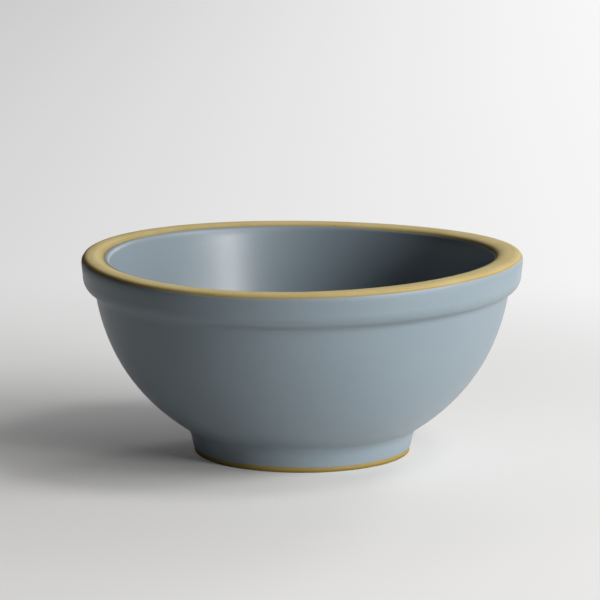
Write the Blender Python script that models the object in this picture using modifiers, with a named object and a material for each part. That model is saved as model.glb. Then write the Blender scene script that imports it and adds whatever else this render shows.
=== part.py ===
"""Stoneware cereal bowl: the fired clay body and the three fields of glaze on it.

Every piece is turned. The bowl's visible surface is laid out once, as five runs of profile points
(radius, height): up the inside, over the bare rim, down the outside, round the bare foot and
across the recess under the base. A glaze coat is the skin on the clay side of its run. The clay
lies one coat and one gap deeper there, so each coat sits in a shallow seat and ends in a thin edge.
"""
from math import acos, asin, atan2, cos, pi, radians, sin, tan

import bpy
from mathutils import Vector

MM = 0.001

# Rim: a broad bare dome on top of a thick band.
RIM_RADIUS = 76.0 * MM
RIM_HEIGHT = 69.4 * MM
CREST_RADIUS = 71.0 * MM
LIP_RADIUS = 66.2 * MM
LIP_DROP = 3.0 * MM
SHOULDER_DROP = 2.0 * MM
INNER_GLAZE_RADIUS = 67.6 * MM
OUTER_GLAZE_HEIGHT = 67.8 * MM

# Band: a slightly tapering face, a round underside and a soft crease above the wall.
BAND_FACE_BOTTOM = 61.8 * MM
BAND_TAPER = 0.45 * MM
CREASE_RADIUS = 71.4 * MM
CREASE_HEIGHT = 56.7 * MM
UNDERSIDE_SWEEP = radians(66)
CREASE_FILLET = 2.0 * MM

# Wall: from the crease to the foot, with the lean and the reach of its tangent at each end.
WALL_TOP_LEAN = radians(8.6)
WALL_TOP_REACH = 23.0 * MM
WALL_FOOT_RISE = radians(31.5)
WALL_FOOT_REACH = 19.7 * MM

# Inside: one sweep from the middle of the floor to the lip, with the reach of its tangent at each end.
FLOOR_HEIGHT = 11.4 * MM
FLOOR_REACH = 50.0 * MM
INSIDE_LEAN = radians(9)
INSIDE_REACH = 42.0 * MM

# Foot ring and the recess inside it.
FOOT_TOP_RADIUS = 39.1 * MM
FOOT_HEIGHT = 8.2 * MM
FOOT_RADIUS = 37.25 * MM
FOOT_FILLET = 1.3 * MM
FOOT_BARE_HEIGHT = 1.8 * MM
FOOT_ROUNDING = 0.7 * MM
FOOT_INNER_RADIUS = 31.6 * MM
RECESS_RADIUS = 30.6 * MM
RECESS_HEIGHT = 5.3 * MM
RECESS_CROWN = 0.4 * MM
RECESS_FILLET = 1.5 * MM

# Glaze coats: full thickness, the thin edge, and the clearance between coat and clay.
COAT = 0.45 * MM
COAT_EDGE = 0.2 * MM
EDGE_SLOPE = 0.15
GAP = 0.3 * MM
SEAT_RAMP = 0.6 * MM

STEPS = 52
CLAY_COLOUR = (0.50, 0.37, 0.16, 1.0)
GLAZE_COLOUR = (0.27, 0.32, 0.35, 1.0)


def point(radius, height):
    """One profile point, in the half plane at +X."""
    return Vector((radius, 0.0, height))


def arc(centre, across, up, start, end, segments):
    """Points of an elliptical arc; angles count from the outward radius towards up."""
    angles = [start + (end - start) * i / segments for i in range(segments + 1)]
    return [centre + point(across * cos(a), up * sin(a)) for a in angles]


def bezier(handles, segments, start=0.0, end=1.0):
    """Points of a cubic curve with four handles, from parameter start to end."""
    p0, p1, p2, p3 = handles
    points = []
    for i in range(segments + 1):
        t = start + (end - start) * i / segments
        s = 1.0 - t
        points.append(p0 * s**3 + p1 * (3 * s * s * t) + p2 * (3 * s * t * t) + p3 * t**3)
    return points


def blend(before, start, end, after, reach, segments):
    """A smooth curve from start to end that carries on the stretches before and after it."""
    leave = start + (start - before).normalized() * reach
    arrive = end - (after - end).normalized() * reach
    return bezier((start, leave, arrive, end), segments)


def rounded(before, corner, after, reach, segments):
    """The corner between two straight stretches, rounded from one reach before to one after."""
    start = corner + (before - corner).normalized() * reach
    end = corner + (after - corner).normalized() * reach
    return blend(before, start, end, after, 0.6 * reach, segments)


def rim_dome():
    """The dome in three stretches: the glazed inner part, the bare top, the glazed shoulder."""
    inner_across = CREST_RADIUS - LIP_RADIUS
    outer_across = RIM_RADIUS - CREST_RADIUS
    inner_centre = point(CREST_RADIUS, RIM_HEIGHT - LIP_DROP)
    outer_centre = point(CREST_RADIUS, RIM_HEIGHT - SHOULDER_DROP)
    lip_line = pi - atan2(LIP_DROP * tan(INSIDE_LEAN), inner_across)
    inner_line = pi - acos((CREST_RADIUS - INNER_GLAZE_RADIUS) / inner_across)
    outer_line = asin((OUTER_GLAZE_HEIGHT - outer_centre.z) / SHOULDER_DROP)
    glazed_lip = arc(inner_centre, inner_across, LIP_DROP, lip_line, inner_line, 3)
    bare_top = arc(inner_centre, inner_across, LIP_DROP, inner_line, pi / 2, 3)
    bare_top += arc(outer_centre, outer_across, SHOULDER_DROP, pi / 2, outer_line, 4)[1:]
    shoulder = arc(outer_centre, outer_across, SHOULDER_DROP, outer_line, 0.0, 1)
    return glazed_lip, bare_top, shoulder


def inside_run(glazed_lip):
    """The inside, from the middle of the floor up to the inner edge of the bare rim."""
    floor = point(0.0, FLOOR_HEIGHT)
    lip = glazed_lip[0]
    along_floor = floor + point(FLOOR_REACH, 0.0)
    below_lip = lip - point(sin(INSIDE_LEAN), cos(INSIDE_LEAN)) * INSIDE_REACH
    return bezier((floor, along_floor, below_lip, lip), 10) + glazed_lip[1:]


def outside_run(shoulder):
    """The outside, from the outer edge of the bare rim down to the bare edge of the foot."""
    face_bottom = point(RIM_RADIUS - BAND_TAPER, BAND_FACE_BOTTOM)
    underside = arc(point(CREASE_RADIUS, BAND_FACE_BOTTOM), face_bottom.x - CREASE_RADIUS,
                    BAND_FACE_BOTTOM - CREASE_HEIGHT, 0.0, -UNDERSIDE_SWEEP, 5)
    crease = point(CREASE_RADIUS, CREASE_HEIGHT)
    foot_top = point(FOOT_TOP_RADIUS, FOOT_HEIGHT)
    below_crease = crease - point(sin(WALL_TOP_LEAN), cos(WALL_TOP_LEAN)) * WALL_TOP_REACH
    above_foot = foot_top + point(cos(WALL_FOOT_RISE), sin(WALL_FOOT_RISE)) * WALL_FOOT_REACH
    wall = bezier((crease, below_crease, above_foot, foot_top), 9,
                  CREASE_FILLET / (3 * WALL_TOP_REACH), 1 - FOOT_FILLET / (3 * WALL_FOOT_REACH))
    under_band = blend(underside[-2], underside[-1], wall[0], wall[1], 0.6 * CREASE_FILLET, 3)
    foot_bottom = point(FOOT_RADIUS, 0.0)
    at_foot = rounded(wall[-1], foot_top, foot_bottom, FOOT_FILLET, 2)
    bare_line = foot_bottom.lerp(foot_top, FOOT_BARE_HEIGHT / FOOT_HEIGHT)
    return shoulder + underside + under_band[1:] + wall[1:-1] + at_foot + [bare_line]


def foot_run():
    """The bare foot: down its outer edge, across the flat it stands on, up its inner edge."""
    outer_bottom = point(FOOT_RADIUS, 0.0)
    inner_bottom = point(FOOT_INNER_RADIUS, 0.0)
    outer_line = outer_bottom.lerp(point(FOOT_TOP_RADIUS, FOOT_HEIGHT), FOOT_BARE_HEIGHT / FOOT_HEIGHT)
    inner_line = inner_bottom.lerp(point(RECESS_RADIUS, RECESS_HEIGHT), FOOT_BARE_HEIGHT / RECESS_HEIGHT)
    return ([outer_line] + rounded(outer_line, outer_bottom, inner_bottom, FOOT_ROUNDING, 2)
            + rounded(outer_bottom, inner_bottom, inner_line, FOOT_ROUNDING, 2) + [inner_line])


def base_run(inner_line):
    """The recess under the base, from the foot's inner bare edge to the middle."""
    corner = point(RECESS_RADIUS, RECESS_HEIGHT)
    middle = point(0.0, RECESS_HEIGHT + RECESS_CROWN)
    halfway = point(0.5 * RECESS_RADIUS, RECESS_HEIGHT + 0.75 * RECESS_CROWN)
    return [inner_line] + rounded(inner_line, corner, halfway, RECESS_FILLET, 3) + [halfway, middle]


def clay_side(start, end):
    """The unit normal of a stretch of profile, on the side where the clay is."""
    along = (end - start).normalized()
    return point(along.z, -along.x)


def inset(run, depths):
    """Each point of a run moved to the clay's side, square to the run, by its own depth."""
    stretches = [clay_side(start, end) for start, end in zip(run, run[1:])]
    moved = []
    for i, (here, depth) in enumerate(zip(run, depths)):
        normals = stretches[max(i - 1, 0):i + 1]
        if here.x == 0.0:
            normals.append(point(-normals[0].x, normals[0].z))
        middle = sum(normals, Vector()).normalized()
        moved.append(here + middle * (depth / middle.dot(normals[0])))
    return moved


def coat_depths(run):
    """The coat's thickness at each point: it thins towards each edge that isn't on the axis."""
    edges = [end for end in (run[0], run[-1]) if end.x > 0.0]
    nearest = [min((here - edge).length for edge in edges) for here in run]
    return [min(COAT, COAT_EDGE + EDGE_SLOPE * distance) for distance in nearest]


def coat_profile(run):
    """The outline of one coat: its visible face and, one thickness deeper, its back."""
    back = inset(run, coat_depths(run))[::-1]
    return back + run if run[-1].x == 0.0 else run + back


def bare_part(run):
    """A bare run without the ramps at its two ends, which lead down to the seats of the coats."""
    start = run[0] + (run[1] - run[0]).normalized() * SEAT_RAMP
    stop = run[-1] + (run[-2] - run[-1]).normalized() * SEAT_RAMP
    kept = [p for p in run if min((p - run[0]).length, (p - run[-1]).length) > 1.5 * SEAT_RAMP]
    return [start] + kept + [stop]


def body_profile(inside, top, outside, foot, base):
    """The clay's outline: flush where it is bare, and one coat and one gap deep elsewhere."""
    run = []
    depths = []
    for glazed, bare in ((inside, top), (outside, foot), (base, None)):
        run += glazed
        depths += [depth + GAP for depth in coat_depths(glazed)]
        shown = bare_part(bare) if bare else []
        run += shown
        depths += [0.0] * len(shown)
    return inset(run, depths)


def finish(name, colour, roughness):
    """A plain Principled material."""
    material = bpy.data.materials.new(name)
    material.use_nodes = True
    shader = material.node_tree.nodes["Principled BSDF"]
    shader.inputs["Base Color"].default_value = colour
    shader.inputs["Roughness"].default_value = roughness
    shader.inputs["Metallic"].default_value = 0.0
    return material


def turn(name, profile, material, collection):
    """One turned piece: its profile, closed into a loop unless it ends on the axis, and a Screw."""
    count = len(profile)
    edges = [(i, i + 1) for i in range(count - 1)]
    if profile[0].x > 0.0:
        edges.append((count - 1, 0))
    mesh = bpy.data.meshes.new(name)
    mesh.from_pydata(profile, edges, [])
    mesh.materials.append(material)
    piece = bpy.data.objects.new(name, mesh)
    collection.objects.link(piece)
    screw = piece.modifiers.new("Turn", "SCREW")
    screw.axis = "Z"
    screw.angle = 2 * pi
    screw.steps = STEPS
    screw.render_steps = STEPS
    screw.use_merge_vertices = True
    screw.merge_threshold = 0.00001
    screw.use_smooth_shade = True
    return piece


def main():
    for existing in list(bpy.data.objects):
        bpy.data.objects.remove(existing, do_unlink=True)
    bowl = bpy.data.collections.new("cereal_bowl")
    bpy.context.scene.collection.children.link(bowl)

    glazed_lip, top, shoulder = rim_dome()
    inside = inside_run(glazed_lip)
    outside = outside_run(shoulder)
    foot = foot_run()
    base = base_run(foot[-1])

    clay = finish("bare_stoneware", CLAY_COLOUR, 0.8)
    turn("stoneware_body", body_profile(inside, top, outside, foot, base), clay, bowl)
    for name, run in (("inside_glaze", inside), ("outside_glaze", outside), ("base_glaze", base)):
        turn(name, coat_profile(run), finish(name, GLAZE_COLOUR, 0.4), bowl)


main()
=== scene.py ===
"""Looks of the stoneware cereal bowl: fine turned surfaces, satin glaze, bare clay, floor and light.

Lengths are in metres. The bowl's visible outline is one curve, measured along its length from the
middle of the inside floor, over the rim and down the outside to the middle of the recess under the
base. Each glaze coat covers one stretch of that curve, and the clay lies a coat's thickness below.
Angles round the bowl start at the right end of the photograph's view and pass the back first.
"""

from math import pi, radians

import bpy
import numpy as np
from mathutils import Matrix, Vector


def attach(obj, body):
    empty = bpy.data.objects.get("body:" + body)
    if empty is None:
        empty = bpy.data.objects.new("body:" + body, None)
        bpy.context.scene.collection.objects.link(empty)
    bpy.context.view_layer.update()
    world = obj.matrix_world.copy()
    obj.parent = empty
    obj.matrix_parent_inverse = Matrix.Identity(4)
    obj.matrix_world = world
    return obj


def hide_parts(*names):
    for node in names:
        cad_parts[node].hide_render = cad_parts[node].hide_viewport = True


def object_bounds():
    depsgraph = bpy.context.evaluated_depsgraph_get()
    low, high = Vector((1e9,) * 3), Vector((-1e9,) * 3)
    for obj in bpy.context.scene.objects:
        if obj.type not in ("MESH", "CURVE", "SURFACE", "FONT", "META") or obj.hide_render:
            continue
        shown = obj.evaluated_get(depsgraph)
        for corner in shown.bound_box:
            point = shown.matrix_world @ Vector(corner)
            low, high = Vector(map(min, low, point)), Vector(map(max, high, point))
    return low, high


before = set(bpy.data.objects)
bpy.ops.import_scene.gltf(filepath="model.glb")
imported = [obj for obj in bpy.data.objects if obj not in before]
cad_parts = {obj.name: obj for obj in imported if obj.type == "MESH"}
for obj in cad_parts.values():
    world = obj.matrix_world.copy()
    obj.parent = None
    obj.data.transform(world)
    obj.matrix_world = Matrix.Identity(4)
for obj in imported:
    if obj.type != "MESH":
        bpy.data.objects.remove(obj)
cad_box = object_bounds()

MM = 0.001
RIM_RADIUS = cad_box[1][0]
WARP_ROOM = 0.48 * MM
RIM_HEIGHT = cad_box[1][2] - WARP_ROOM

# Rim dome, band and wall.
CREST_RADIUS = 72.5 * MM
LIP_RADIUS = 66.2 * MM
LIP_DROP = 3.0 * MM
SHOULDER_DROP = 2.8 * MM
RIM_SQUARENESS = 3.0
BAND_FACE_BOTTOM = 61.8 * MM
BAND_TAPER = 0.45 * MM
CREASE_RADIUS = 71.4 * MM
CREASE_HEIGHT = 56.7 * MM
UNDERSIDE_SWEEP = radians(66)
CREASE_FILLET = 2.0 * MM
WALL_TOP_LEAN = radians(8.6)
WALL_TOP_REACH = 23.0 * MM
WALL_FOOT_RISE = radians(31.5)
WALL_FOOT_REACH = 19.7 * MM

# Inside, foot ring and recess.
FLOOR_HEIGHT = 11.4 * MM
FLOOR_REACH = 50.0 * MM
INSIDE_LEAN = radians(9)
INSIDE_REACH = 42.0 * MM
FOOT_TOP_RADIUS = 39.1 * MM
FOOT_HEIGHT = 8.2 * MM
FOOT_RADIUS = 37.25 * MM
FOOT_FILLET = 2.6 * MM
FOOT_ROUNDING = 0.45 * MM
FOOT_INNER_RADIUS = 31.6 * MM
RECESS_RADIUS = 30.6 * MM
RECESS_HEIGHT = 5.3 * MM
RECESS_CROWN = 0.4 * MM
RECESS_FILLET = 1.5 * MM
RECESS_GAP = 1.0 * MM

# Where the glaze stops, how its lines wander round the bowl, and how its edge is made.
INNER_GLAZE_RADIUS = 67.2 * MM
INNER_LINE_SWAY = 0.3 * MM
SWAY_OF_ONE = 1.6
SWAY_OF_FOUR = 1.2
INNER_LINE_DROP = 1.2 * MM
INNER_WAVER = 0.18 * MM
OUTER_GLAZE_HEIGHT = 67.8 * MM
OUTER_LINE_TILT = 0.1 * MM
OUTER_WAVER = 0.15 * MM
FOOT_BARE_HEIGHT = 1.8 * MM
FOOT_WAVER = 0.22 * MM
BASE_WAVER = 0.3 * MM
COAT = 0.15 * MM
COAT_OVERLAP = 0.05 * MM
EDGE_ROUNDING = 0.9 * MM
RIM_RAMP = 1.2 * MM
FOOT_RAMP = 1.2 * MM

# The rim is not quite level: it leans to one side, and rises and dips twice on its way round. At the
# left end the lip also dips inwards. That dip, like the inner line's drop at the right end, follows a
# lobe: the cosine or sine of half the angle to a high power, which is 1 at its own end and next to
# nothing a quarter turn away.
RIM_TILT = 0.31 * MM
RIM_WARP = 0.82 * MM
WARP_PHASE = radians(40)
LIP_DIP = 0.6 * MM
LIP_DIP_REACH = 4.5 * MM
LIP_DIP_FADE = 8
LOBE_POWER = 24

# How fine the outline and the grids are.
ARC_POINTS = 120
DOME_POINTS = 200
CURVE_POINTS = 400
CORNER_POINTS = 60
CORNER_PULL = 0.6
SAME_POINT = 1e-7
ON_THE_FLOOR = 1e-6
CURVE_STEP = 0.05 * MM
BEND_WINDOW = 21
BEND_SAG = 0.02 * MM
BEND_STEP = 0.3 * MM
HIDDEN_STEP = 2.5 * MM
RING_STEP = 0.5 * MM
RING_GAP = 0.2
EDGE_RINGS = 10
BARE_RINGS = 65
BARE_MARGIN = 1.0 * MM
LIP_MARGIN = 2.0 * MM
TURN_STEPS = 288

# The photograph's view: a long lens, a little above the rim.
CAMERA_BACK = 1.300
CAMERA_HEIGHT = 0.2932
CAMERA_SIDE = -0.00073
CAMERA_PITCH = radians(10.485)
LENS = 229.7
SENSOR = 36.0


def arc(centre, across, up, start, end):
    """An ellipse's arc: centre plus (across times cosine, up times sine) of an even run of angles."""
    angle = np.linspace(start, end, ARC_POINTS)[:, None]
    return np.array(centre) + np.hstack((across * np.cos(angle), up * np.sin(angle)))


def dome_arc(centre, across, up, start, end):
    """A flat-topped arc: an ellipse's, with its cosine and sine raised to 2 over the squareness."""
    angle = np.linspace(start, end, DOME_POINTS)[:, None]
    power = 2.0 / RIM_SQUARENESS
    return np.array(centre) + np.hstack((across * np.cos(angle)**power, up * np.sin(angle)**power))


def bezier(p0, p1, p2, p3, count=CURVE_POINTS, start=0.0, end=1.0):
    """A cubic curve: its four points weighted by the Bernstein polynomials of an even run of t."""
    t = np.linspace(start, end, count)[:, None]
    s = 1.0 - t
    return s**3 * p0 + 3 * s * s * t * p1 + 3 * s * t * t * p2 + t**3 * p3


def heading(start, end):
    """The unit vector from one profile point to another."""
    step = np.subtract(end, start)
    return step / np.hypot(*step)


def rounded(before, corner, after, reach):
    """A corner replaced by a cubic curve between the points one reach before and after it."""
    corner = np.array(corner)
    start = corner + heading(corner, before) * reach
    end = corner + heading(corner, after) * reach
    out_of_start = start + (corner - start) * CORNER_PULL
    into_end = end + (corner - end) * CORNER_PULL
    return bezier(start, out_of_start, into_end, end, CORNER_POINTS)


def inside_outline():
    """The inside: one cubic sweep from the middle of the floor to the lip, then the lip's rounding.

    The rounding is a flat-topped arc that starts where it has the lean of the wall below it.
    """
    across = CREST_RADIUS - LIP_RADIUS
    lean = LIP_DROP * np.tan(INSIDE_LEAN) / across
    lip_line = np.arctan(lean**(1.0 / (2.0 - 2.0 / RIM_SQUARENESS)))
    dome = dome_arc((CREST_RADIUS, RIM_HEIGHT - LIP_DROP), -across, LIP_DROP, lip_line, pi / 2)
    floor = np.array((0.0, FLOOR_HEIGHT))
    down = np.array((-np.sin(INSIDE_LEAN), -np.cos(INSIDE_LEAN))) * INSIDE_REACH
    sweep = bezier(floor, floor + (FLOOR_REACH, 0.0), dome[0] + down, dome[0])
    return [sweep, dome]


def outside_outline():
    """The outside: shoulder, band face, round underside, crease, cubic wall, then the foot's side."""
    shoulder = dome_arc((CREST_RADIUS, RIM_HEIGHT - SHOULDER_DROP), RIM_RADIUS - CREST_RADIUS,
                        SHOULDER_DROP, pi / 2, 0.0)
    face_bottom = RIM_RADIUS - BAND_TAPER
    underside = arc((CREASE_RADIUS, BAND_FACE_BOTTOM), face_bottom - CREASE_RADIUS,
                    BAND_FACE_BOTTOM - CREASE_HEIGHT, 0.0, -UNDERSIDE_SWEEP)
    crease = np.array((CREASE_RADIUS, CREASE_HEIGHT))
    foot_top = np.array((FOOT_TOP_RADIUS, FOOT_HEIGHT))
    down = np.array((-np.sin(WALL_TOP_LEAN), -np.cos(WALL_TOP_LEAN))) * WALL_TOP_REACH
    up = np.array((np.cos(WALL_FOOT_RISE), np.sin(WALL_FOOT_RISE))) * WALL_FOOT_REACH
    wall = bezier(crease, crease + down, foot_top + up, foot_top, CURVE_POINTS,
                  CREASE_FILLET / (3 * WALL_TOP_REACH), 1 - FOOT_FILLET / (3 * WALL_FOOT_REACH))
    reach = CORNER_PULL * CREASE_FILLET
    off_underside = underside[-1] + heading(underside[-2], underside[-1]) * reach
    onto_wall = wall[0] - heading(wall[0], wall[1]) * reach
    into_crease = bezier(underside[-1], off_underside, onto_wall, wall[0], CORNER_POINTS)
    at_foot = rounded(wall[-1], foot_top, (FOOT_RADIUS, 0.0), FOOT_FILLET)
    return [shoulder, underside, into_crease, wall, at_foot]


def base_outline():
    """The foot's rounded edges and flat, its inner side, and the slightly domed recess."""
    outer = (FOOT_RADIUS, 0.0)
    inner = (FOOT_INNER_RADIUS, 0.0)
    corner = np.array((RECESS_RADIUS, RECESS_HEIGHT))
    middle = np.array((0.0, RECESS_HEIGHT + RECESS_CROWN))
    across = np.array((0.5 * RECESS_RADIUS, 0.0))
    dome = bezier(corner, corner - across, middle + across, middle)
    fillet = rounded(inner, corner, dome[CURVE_POINTS // 10], RECESS_FILLET)
    return [rounded((FOOT_TOP_RADIUS, FOOT_HEIGHT), outer, inner, FOOT_ROUNDING),
            rounded(outer, inner, corner, FOOT_ROUNDING),
            fillet,
            dome[dome[:, 0] < fillet[-1, 0] - RECESS_GAP]]


class Outline:
    """The bowl's visible outline as arrays over its own length s.

    to_clay is the unit vector square to the outline, into the clay. count runs up by one for each
    hidden ring: the rings are the square root of 8 times the sag over the bend apart, so that a
    straight step between two of them keeps within the sag, but no closer or wider than allowed.
    """

    def __init__(self, stretches):
        points = np.vstack(stretches)
        steps = np.hypot(*np.diff(points, axis=0).T)
        points = points[np.concatenate(([True], steps > SAME_POINT))]
        length = np.concatenate(([0.0], np.cumsum(np.hypot(*np.diff(points, axis=0).T))))
        self.length = length[-1]
        self.s = np.linspace(0.0, self.length, int(self.length / CURVE_STEP))
        self.r = np.interp(self.s, length, points[:, 0])
        self.z = np.interp(self.s, length, points[:, 1])
        along = np.stack((np.gradient(self.r), np.gradient(self.z)))
        along /= np.hypot(*along)
        self.to_clay = np.stack((along[1], -along[0]))
        self.to_clay[:, 0] = (0.0, -1.0)
        self.to_clay[:, -1] = (0.0, 1.0)
        bend = np.hypot(*np.gradient(along, axis=1)) / CURVE_STEP
        bend = np.convolve(bend, np.full(BEND_WINDOW, 1 / BEND_WINDOW), mode="same")
        closeness = np.clip(np.sqrt(bend / (8 * BEND_SAG)), 1 / HIDDEN_STEP, 1 / BEND_STEP)
        self.count = np.cumsum(closeness) * CURVE_STEP

    def place(self, s, depth):
        """Radius and height at length s, moved square to the outline by a depth into the clay."""
        r = np.interp(s, self.s, self.r) + depth * np.interp(s, self.s, self.to_clay[0])
        z = np.interp(s, self.s, self.z) + depth * np.interp(s, self.s, self.to_clay[1])
        return r, z

    def rings(self, start, end):
        """Lengths from start to end for hidden rings, closer together where the outline bends."""
        first, last = np.interp((start, end), self.s, self.count)
        return np.interp(np.linspace(first, last, int(last - first) + 2), self.count, self.s)

    def first(self, condition):
        """The length at the first outline point that meets a condition."""
        return self.s[np.argmax(condition)]


outline = Outline(inside_outline() + outside_outline() + base_outline())
crest_at = outline.s[np.argmax(outline.z)]
past_crest = outline.s > crest_at
stand_at = outline.first(past_crest & (outline.z < ON_THE_FLOOR))
inner_edge = outline.first(outline.r > INNER_GLAZE_RADIUS)
outer_edge = outline.first(past_crest & (outline.z < OUTER_GLAZE_HEIGHT))
foot_edge = outline.first(past_crest & (outline.z < FOOT_BARE_HEIGHT))
base_edge = outline.first((outline.s > stand_at) & (outline.z > FOOT_BARE_HEIGHT))

turn = np.linspace(0.0, 2 * pi, TURN_STEPS, endpoint=False)


def wavering(amount, seed):
    """A slow closed wave round the bowl: sines of 2 to 14 whole turns, with seeded phases and sizes.

    A sine's size is a draw over the root of its number of turns, and the sum is scaled to the amount.
    """
    draw = np.random.default_rng(seed)
    waves = np.arange(2, 15)
    phases = draw.uniform(0.0, 2 * pi, waves.size)
    sizes = draw.uniform(0.4, 1.0, waves.size) / waves**0.5
    wave = (sizes[:, None] * np.sin(waves[:, None] * turn + phases[:, None])).sum(axis=0)
    return amount * wave / np.abs(wave).max()


# A line's length on the outline at each angle. More of it is further outwards.
sway = np.cos(2 * turn) + SWAY_OF_FOUR * np.cos(4 * turn) - SWAY_OF_ONE * np.cos(turn)
inner_line = inner_edge + INNER_LINE_SWAY * sway + wavering(INNER_WAVER, seed=3)
inner_line -= INNER_LINE_DROP * np.cos(turn / 2)**LOBE_POWER
outer_line = outer_edge - OUTER_LINE_TILT * np.cos(turn) + wavering(OUTER_WAVER, seed=5)
foot_line = foot_edge + wavering(FOOT_WAVER, seed=7)
base_line = base_edge + wavering(BASE_WAVER, seed=11)


def smooth_step(x):
    """0 below 0, 1 above 1, and the cubic 3x2 - 2x3 between them."""
    x = np.clip(x, 0.0, 1.0)
    return x * x * (3.0 - 2.0 * x)


def turned_mesh(name, r, z, edge, closed):
    """A surface of revolution from grids of radius and height: a row is a ring, a column an angle.

    x and y are the radius times the cosine and sine of the angle. The rim's tilt and warp lift each
    point by the square of its share of the height times the cosines of one turn and of two. The
    lip's dip lowers it by a smooth step inwards from the crest times a high power of its share of the
    height times the left end's lobe. A closed profile joins its last ring to its first; an open one
    starts and ends in a pole on the axis. Each point also carries its distance from the glaze's edge.
    """
    edge = np.broadcast_to(edge, r.shape)
    share = z / RIM_HEIGHT
    lift = share**2 * (RIM_TILT * np.cos(turn) + RIM_WARP * np.cos(2 * turn + WARP_PHASE))
    on_lip = smooth_step((CREST_RADIUS - r) / LIP_DIP_REACH) * share**LIP_DIP_FADE
    lift -= LIP_DIP * on_lip * np.sin(turn / 2)**LOBE_POWER
    rings = np.stack((r * np.cos(turn), r * np.sin(turn), z + lift), axis=-1)
    poles = np.empty((0, 3))
    marks = edge.reshape(-1)
    if not closed:
        poles = np.stack((rings[0].mean(axis=0), rings[-1].mean(axis=0)))
        marks = np.concatenate((edge[1:-1].reshape(-1), edge[[0, -1], 0]))
        rings = rings[1:-1]
    count = rings.shape[0]
    at = np.arange(count * TURN_STEPS).reshape(count, TURN_STEPS)
    beside = np.roll(at, -1, axis=1)
    this, following = (at, np.roll(at, -1, axis=0)) if closed else (at[:-1], at[1:])
    this_beside = beside if closed else beside[:-1]
    next_beside = np.roll(beside, -1, axis=0) if closed else beside[1:]
    faces = np.stack((this, following, next_beside, this_beside), axis=-1).reshape(-1, 4).tolist()
    if not closed:
        first = np.full(TURN_STEPS, at.size)
        last = first + 1
        faces += np.stack((first, at[0], beside[0]), axis=-1).tolist()
        faces += np.stack((at[-1], last, beside[-1]), axis=-1).tolist()
    mesh = bpy.data.meshes.new(name)
    mesh.from_pydata(np.vstack((rings.reshape(-1, 3), poles)), [], faces)
    mesh.attributes.new("edge", "FLOAT", "POINT").data.foreach_set("value", marks.astype(np.float32))
    mesh.shade_smooth()
    piece = bpy.data.objects.new(name, mesh)
    bpy.context.scene.collection.objects.link(piece)
    return piece


def shares(length, rounded_ends):
    """Even shares of a stretch from 0 to 1, with finer ones where an end is rounded."""
    fine = 1.0 - np.cos(np.linspace(0.0, pi / 2, EDGE_RINGS))
    fine *= EDGE_ROUNDING / length
    gap = RING_GAP * RING_STEP / length
    middle = np.linspace(0.0, 1.0, int(length / RING_STEP))
    if rounded_ends[0]:
        middle = np.concatenate((fine, middle[middle > fine[-1] + gap]))
    if rounded_ends[1]:
        middle = np.concatenate((middle[middle < 1 - fine[-1] - gap], 1 - fine[::-1]))
    return middle[:, None]


def glaze_coat(name, start, end):
    """One coat between two lines on the outline, each a length for every angle or None for a pole.

    Its front lies on the outline and drops to the clay in a quarter ellipse at each free edge; its
    back runs a hair inside the clay.
    """
    start_free = start is not None
    end_free = end is not None
    start = start if start_free else np.zeros(TURN_STEPS)
    end = end if end_free else np.full(TURN_STEPS, outline.length)
    length = float((end - start).mean())
    s = start + shares(length, (start_free, end_free)) * (end - start)
    far = np.full(s.shape, outline.length)
    edge = np.minimum(s - start if start_free else far, end - s if end_free else far)
    inward = np.clip(edge / EDGE_ROUNDING, 0.0, 1.0)
    front = outline.place(s, COAT * (1.0 - np.sqrt(1.0 - (1.0 - inward)**2)))
    hidden = (outline.rings(start.mean(), end.mean())[::-1, None] - start.mean()) / length
    depth = np.full((hidden.size, TURN_STEPS), COAT + COAT_OVERLAP)
    back = outline.place(start + hidden * (end - start), depth)
    order = (front, back) if end_free else (back, front)
    marks = [edge, np.full(back[0].shape, outline.length)]
    r, z = (np.vstack(pair) for pair in zip(*order))
    edge = np.vstack(marks if end_free else marks[::-1])
    return turned_mesh(name, r, z, edge, closed=start_free and end_free)


def clay_body(name):
    """The clay: on the outline where it is bare, easing down to one coat's depth at each glaze line."""
    rim = np.linspace(inner_edge - LIP_MARGIN, outer_edge + BARE_MARGIN, BARE_RINGS)
    foot = np.linspace(foot_edge - BARE_MARGIN, base_edge + BARE_MARGIN, BARE_RINGS)
    s = np.concatenate((outline.rings(0.0, rim[0])[:-1], rim,
                        outline.rings(rim[-1], foot[0])[1:-1], foot,
                        outline.rings(foot[-1], outline.length)[1:]))[:, None]
    on_rim = np.minimum(s - inner_line, outer_line - s)
    on_foot = np.minimum(s - foot_line, base_line - s)
    bareness = np.maximum(smooth_step(on_rim / RIM_RAMP), smooth_step(on_foot / FOOT_RAMP))
    r, z = outline.place(s, COAT * (1.0 - bareness))
    return turned_mesh(name, r, z, np.maximum(on_rim, on_foot), closed=False)


class Value:
    """A number on a shader socket. Each Python operator on it adds one Math node."""

    def __init__(self, finish, socket):
        self.finish = finish
        self.socket = socket

    def math(self, operation, first, second):
        """Add a Math node and return its result."""
        return self.finish.node("ShaderNodeMath", {"operation": operation}, {0: first, 1: second})["Value"]

    def __add__(self, other):
        return self.math("ADD", self, other)

    def __sub__(self, other):
        return self.math("SUBTRACT", self, other)

    def __rsub__(self, other):
        return self.math("SUBTRACT", other, self)

    def __mul__(self, other):
        return self.math("MULTIPLY", self, other)

    __radd__ = __add__


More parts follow.
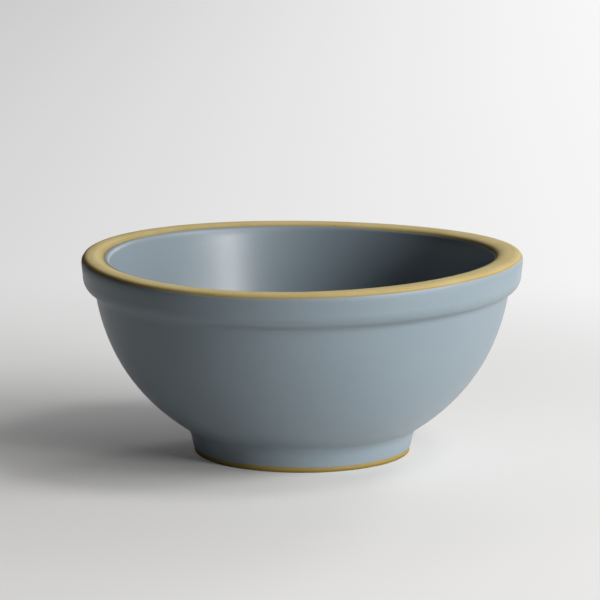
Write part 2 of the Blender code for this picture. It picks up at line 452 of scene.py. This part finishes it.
class Finish:
    """A material under construction, with one method that adds any node."""

    def __init__(self, name):
        self.material = bpy.data.materials.new(name)
        self.material.use_nodes = True
        self.tree = self.material.node_tree
        self.shader = self.tree.nodes["Principled BSDF"]
        self.place = self.node("ShaderNodeTexCoord", {}, {})["Object"]

    def node(self, kind, settings, inputs):
        """Add a node: its settings first, then values or links for its sockets. Returns its outputs."""
        node = self.tree.nodes.new(kind)
        for key, setting in settings.items():
            setattr(node, key, setting)
        for key, value in inputs.items():
            self.plug(node.inputs[key], value)
        return {socket.name: Value(self, socket) for socket in node.outputs if socket.enabled}

    def plug(self, socket, value):
        """Link a socket to a value, or set it to a plain number or colour."""
        if isinstance(value, Value):
            self.tree.links.new(value.socket, socket)
        else:
            socket.default_value = value

    def noise(self, scale, detail, roughness=0.5):
        """Fractal noise over the piece, from 0 to 1."""
        settings = {"noise_dimensions": "3D"}
        inputs = {"Vector": self.place, "Scale": scale, "Detail": detail, "Roughness": roughness}
        return self.node("ShaderNodeTexNoise", settings, inputs)["Fac"]

    def between(self, value, low, high):
        """A value as a share of the way from low to high, eased and held at both ends."""
        settings = {"interpolation_type": "SMOOTHSTEP"}
        inputs = {"Value": value, "From Min": low, "From Max": high}
        return self.node("ShaderNodeMapRange", settings, inputs)["Result"]

    def blend(self, share, first, second):
        """A colour that goes from the first to the second as the share goes from 0 to 1."""
        settings = {"data_type": "RGBA"}
        inputs = {"Factor": share, "A": first, "B": second}
        return self.node("ShaderNodeMix", settings, inputs)["Result"]

    def speck(self, scale, size, share):
        """Specks: 1 near the middles of a share of a Voronoi pattern's cells, 0 a size away from them."""
        cells = self.node("ShaderNodeTexVoronoi", {}, {"Vector": self.place, "Scale": scale})
        drawn = self.node("ShaderNodeSeparateColor", {}, {"Color": cells["Color"]})["Red"]
        near = 1 - self.between(cells["Distance"], 0.6 * size, size)
        return near * drawn.math("LESS_THAN", drawn, share)

    def bump(self, height, strength, distance):
        """A normal that follows a height field."""
        inputs = {"Height": height, "Strength": strength, "Distance": distance}
        return self.node("ShaderNodeBump", {}, inputs)["Normal"]

    def done(self, **sockets):
        """Plug the shader's own sockets, by name with _ for spaces, and hand over the material."""
        for name, value in sockets.items():
            self.plug(self.shader.inputs[name.replace("_", " ")], value)
        return self.material


GLAZE_COLOUR = (0.200, 0.247, 0.279, 1.0)
GLAZE_DARK = (0.185, 0.232, 0.264, 1.0)
GLAZE_GLOSS = 0.4
# Painted shade: the inside is the same glaze as the outside, in a darker copy.
INSIDE_SHADED_COLOUR = (0.162, 0.201, 0.228, 1.0)
INSIDE_SHADED_DARK = (0.149, 0.187, 0.214, 1.0)
INSIDE_GLOSS = 0.55
GLAZE_THIN = (0.27, 0.245, 0.20, 1.0)
SPECK_COLOUR = (0.06, 0.06, 0.055, 1.0)
CLAY_COLOUR = (0.499, 0.388, 0.155, 1.0)
CLAY_PALE = (0.58, 0.47, 0.223, 1.0)
# Partly the clay's deeper tone near the glaze lines, partly painted shade that dims the lit outer rounding
# of the rim.
CLAY_DEEP_AND_SHADE = (0.333, 0.247, 0.079, 1.0)
# Dark brown, for the flecks and for a thin line along each glaze line.
CLAY_DARK_BROWN = (0.17, 0.115, 0.035, 1.0)
# Painted shade: the foot's clay is painted darker and browner than the rim's, darkest at the edge it
# stands on.
CLAY_FOOT_PAINTED_SHADE = (0.172, 0.114, 0.014, 1.0)
CLAY_FOOT_TOP_PAINTED_SHADE = (0.275, 0.195, 0.042, 1.0)


def glaze_finish(name, full, dark, gloss):
    """Satin blue-grey glaze: soft clouds, a fine mottle, rare specks and a thinner, warmer, drier edge."""
    glaze = Finish(name)
    edge = glaze.node("ShaderNodeAttribute", {"attribute_name": "edge"}, {})["Fac"]
    clouds = glaze.noise(scale=28.0, detail=3.0)
    mottle = glaze.noise(scale=700.0, detail=3.0, roughness=0.6)
    colour = glaze.blend(glaze.between(clouds * 0.7 + mottle * 0.3, 0.3, 0.7), dark, full)
    thin = (1 - glaze.between(edge, 0.1 * MM, 0.7 * MM)) * 0.5
    colour = glaze.blend(thin, colour, GLAZE_THIN)
    specks = glaze.speck(scale=90.0, size=0.035, share=0.04)
    colour = glaze.blend(specks * 0.7, colour, SPECK_COLOUR)
    skin = glaze.noise(scale=1500.0, detail=2.0) * 0.5 + glaze.noise(scale=160.0, detail=2.0)
    dry = 1 - glaze.between(edge, 0.5 * MM, 4.0 * MM)
    roughness = 0.34 + mottle * 0.08 + dry * 0.16
    normal = glaze.bump(skin, strength=0.12, distance=0.15 * MM)
    return glaze.done(Base_Color=colour, Roughness=roughness, Specular_IOR_Level=gloss, Normal=normal)


def clay_finish(name):
    """Bare ochre stoneware: gritty pale grain, brown flecks, and darker brown where glaze begins, partly
    the clay's deeper tone and partly painted shade, with a thin dark brown line right at the glaze.

    The foot is painted darker and browner all over, most at the edge that it stands on: painted shade and
    a painted contact shadow.
    """
    clay = Finish(name)
    edge = clay.node("ShaderNodeAttribute", {"attribute_name": "edge"}, {})["Fac"]
    grain = clay.noise(scale=1400.0, detail=4.0, roughness=0.65)
    drift = clay.noise(scale=60.0, detail=3.0)
    colour = clay.blend(clay.between(grain * 0.6 + drift * 0.4, 0.35, 0.65), CLAY_COLOUR, CLAY_PALE)
    inward = edge + (drift - 0.5) * 0.6 * MM
    # Partly the clay's deeper tone near the glaze, partly painted shade that dims the rim's lit outer
    # rounding.
    deep_and_shade = (1 - clay.between(inward, 0.4 * MM, 2.4 * MM)) * 0.9
    colour = clay.blend(deep_and_shade, colour, CLAY_DEEP_AND_SHADE)
    # A thin dark brown line right along each glaze line.
    dark_edge_line = (1 - clay.between(inward, 0.1 * MM, 0.6 * MM)) * 0.5
    colour = clay.blend(dark_edge_line, colour, CLAY_DARK_BROWN)
    # Painted shade: darker, browner clay over the lowest 2 to 6 mm, darkest at the standing edge, as a
    # painted contact shadow.
    height = clay.node("ShaderNodeSeparateXYZ", {}, {"Vector": clay.place})["Z"]
    at_foot = 1 - clay.between(height, 2.0 * MM, 6.0 * MM)
    painted_foot_shade = clay.blend(clay.between(height, 0.3 * MM, 1.6 * MM), CLAY_FOOT_PAINTED_SHADE, CLAY_FOOT_TOP_PAINTED_SHADE)
    colour = clay.blend(at_foot, colour, painted_foot_shade)
    flecks = clay.speck(scale=420.0, size=0.16, share=0.10)
    colour = clay.blend(flecks * 0.6, colour, CLAY_DARK_BROWN)
    roughness = 0.72 + grain * 0.16
    normal = clay.bump(grain, strength=0.35, distance=0.2 * MM)
    return clay.done(Base_Color=colour, Roughness=roughness, Normal=normal)


clay = clay_body("clay_body")
inside = glaze_coat("inside_glaze_coat", None, inner_line)
outside = glaze_coat("outside_glaze_coat", outer_line, foot_line)
base = glaze_coat("base_glaze_coat", base_line, None)

outside_glaze = glaze_finish("satin_blue_grey_glaze", GLAZE_COLOUR, GLAZE_DARK, GLAZE_GLOSS)
# Painted shade: a darker copy of the same glaze for the inside.
inside_glaze = glaze_finish("inside_blue_grey_glaze_painted_shade", INSIDE_SHADED_COLOUR, INSIDE_SHADED_DARK, INSIDE_GLOSS)
bare_clay = clay_finish("bare_ochre_stoneware")

for piece, node, slot, finish in (
    (clay, "stoneware_body", "bare_stoneware", bare_clay),
    (inside, "inside_glaze", "inside_glaze", inside_glaze),
    (outside, "outside_glaze", "outside_glaze", outside_glaze),
    (base, "base_glaze", "base_glaze", outside_glaze),
):
    piece.data.materials.append(finish)
    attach(piece, "root")
    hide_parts(node)


STAGE_HALF = 3.0
STAGE_POINTS = 121
STAGE_FLAT = 2.0
SWEEP_RADIUS = 0.8
SWEEP_REACH = 0.79
PAPER_COLOUR = (0.715, 0.705, 0.685, 1.0)
PAPER_PALE = (0.755, 0.745, 0.725, 1.0)
PAPER_LEFT = (0.53, 0.52, 0.51, 1.0)
PAPER_RIGHT = (0.95, 0.94, 0.92, 1.0)
PAPER_FAR = (0.30, 0.295, 0.29, 1.0)
# Painted light on the paper: where its glow is least, and how much it grows to the right.
GLOW_MIDDLE = (-0.02, -0.06, 0.0)
GLOW_LEAST = 0.54
GLOW_TO_RIGHT = 0.435
WHITE = (1.0, 1.0, 1.0, 1.0)
WORLD_COLOUR = (1.0, 0.95, 0.88, 1.0)
WORLD_STRENGTH = 0.01

# Name, degrees to the right of the camera and above the floor, width, height and watts.
LAMPS = (
    ("window", 48, 14, 0.24, 0.50, 13.6),
    ("window_top", 71, 30, 0.95, 0.20, 16.6),
    ("back_glow", 150, 20, 0.30, 0.30, 3.8),
    ("skylight", 80, 60, 0.40, 0.40, 4.4),
)
LAMP_DISTANCE = 1.4
LAMP_AIM = Vector((0.0, 0.0, 0.04))


def studio_floor(name):
    """A floor on a square grid: flat for two metres all round, then rising as a quarter circle does."""
    side = np.linspace(-STAGE_HALF, STAGE_HALF, STAGE_POINTS)
    x, y = np.meshgrid(side, side)
    beyond = np.clip(np.hypot(x, y) - STAGE_FLAT, 0.0, SWEEP_REACH)
    points = np.stack((x, y, SWEEP_RADIUS - np.sqrt(SWEEP_RADIUS**2 - beyond**2)), axis=-1)
    at = np.arange(side.size**2).reshape(side.size, side.size)
    faces = np.stack((at[:-1, :-1], at[:-1, 1:], at[1:, 1:], at[1:, :-1]), axis=-1)
    mesh = bpy.data.meshes.new(name)
    mesh.from_pydata(points.reshape(-1, 3), [], faces.reshape(-1, 4).tolist())
    mesh.shade_smooth()
    sheet = bpy.data.objects.new(name, mesh)
    bpy.context.scene.collection.objects.link(sheet)
    return sheet


def soft_lamp(name, azimuth, elevation, width, height, power):
    """A rectangular lamp aimed at the bowl's middle, placed by its angle to the right of the camera."""
    flat = np.cos(elevation)
    way = Vector((flat * np.sin(azimuth), -flat * np.cos(azimuth), np.sin(elevation)))
    lamp = bpy.data.lights.new(name, "AREA")
    lamp.shape = "RECTANGLE"
    lamp.size = width
    lamp.size_y = height
    lamp.energy = power
    holder = bpy.data.objects.new(name, lamp)
    holder.location = LAMP_AIM + way * LAMP_DISTANCE
    holder.rotation_euler = way.to_track_quat("Z", "Y").to_euler()
    bpy.context.scene.collection.objects.link(holder)


def paper_finish(name):
    """Pale paper that goes towards white away from the bowl and to the right: a painted glow of light,
    like the window lamps' light falling on the paper.

    That glow is only seen, by the camera or in a reflection, and it lights nothing. The light that the
    paper throws back is weaker on the left and stronger on the right. The paper is greyer the further
    it is from the bowl, so that little light comes back from there.
    """
    paper = Finish(name)
    across = paper.node("ShaderNodeSeparateXYZ", {}, {"Vector": paper.place})["X"]
    settings = {"operation": "DISTANCE"}
    away = paper.node("ShaderNodeVectorMath", settings, {0: paper.place, 1: GLOW_MIDDLE})["Value"]
    colour = paper.blend(paper.noise(scale=900.0, detail=3.0), PAPER_COLOUR, PAPER_PALE)
    ray = paper.node("ShaderNodeLightPath", {}, {})
    seen = ray["Is Camera Ray"] + ray["Is Glossy Ray"] + ray["Is Transmission Ray"]
    thrown = paper.blend(paper.between(across, -0.10, 0.10), PAPER_LEFT, PAPER_RIGHT)
    colour = paper.blend(seen, thrown, colour)
    colour = paper.blend(paper.between(away, 0.12, 0.40), colour, PAPER_FAR)
    paper.done(Base_Color=colour, Roughness=0.8, Specular_IOR_Level=0.05)
    # Painted light: the glow grows to the right, as the window lamps' light would, and is least near the
    # bowl's foot, where its shadow falls.
    to_right = paper.between(across, -0.35, 0.35) * GLOW_TO_RIGHT
    glow = paper.between(away, -0.02, 0.42) * (GLOW_LEAST + to_right)
    white = paper.node("ShaderNodeEmission", {}, {"Color": WHITE, "Strength": 1.0})["Emission"]
    matte = Value(paper, paper.shader.outputs["BSDF"])
    mixed = paper.node("ShaderNodeMixShader", {}, {"Fac": seen * glow, 1: matte, 2: white})["Shader"]
    paper.plug(paper.tree.nodes["Material Output"].inputs["Surface"], mixed)
    return paper.material


floor = studio_floor("studio_floor")
floor.data.materials.append(paper_finish("pale_paper"))

for name, azimuth, elevation, width, height, power in LAMPS:
    soft_lamp(name, radians(azimuth), radians(elevation), width, height, power)

world = bpy.data.worlds.new("studio")
world.use_nodes = True
world.node_tree.nodes["Background"].inputs["Color"].default_value = WORLD_COLOUR
world.node_tree.nodes["Background"].inputs["Strength"].default_value = WORLD_STRENGTH
bpy.context.scene.world = world

camera = bpy.data.cameras.new("photo_view")
camera.sensor_width = SENSOR
camera.lens = LENS
viewer = bpy.data.objects.new("photo_view", camera)
viewer.location = (CAMERA_SIDE, -CAMERA_BACK, CAMERA_HEIGHT)
viewer.rotation_euler = (pi / 2 - CAMERA_PITCH, 0.0, 0.0)
bpy.context.scene.collection.objects.link(viewer)
bpy.context.scene.camera = viewer
bpy.context.scene.view_settings.view_transform = "Standard"
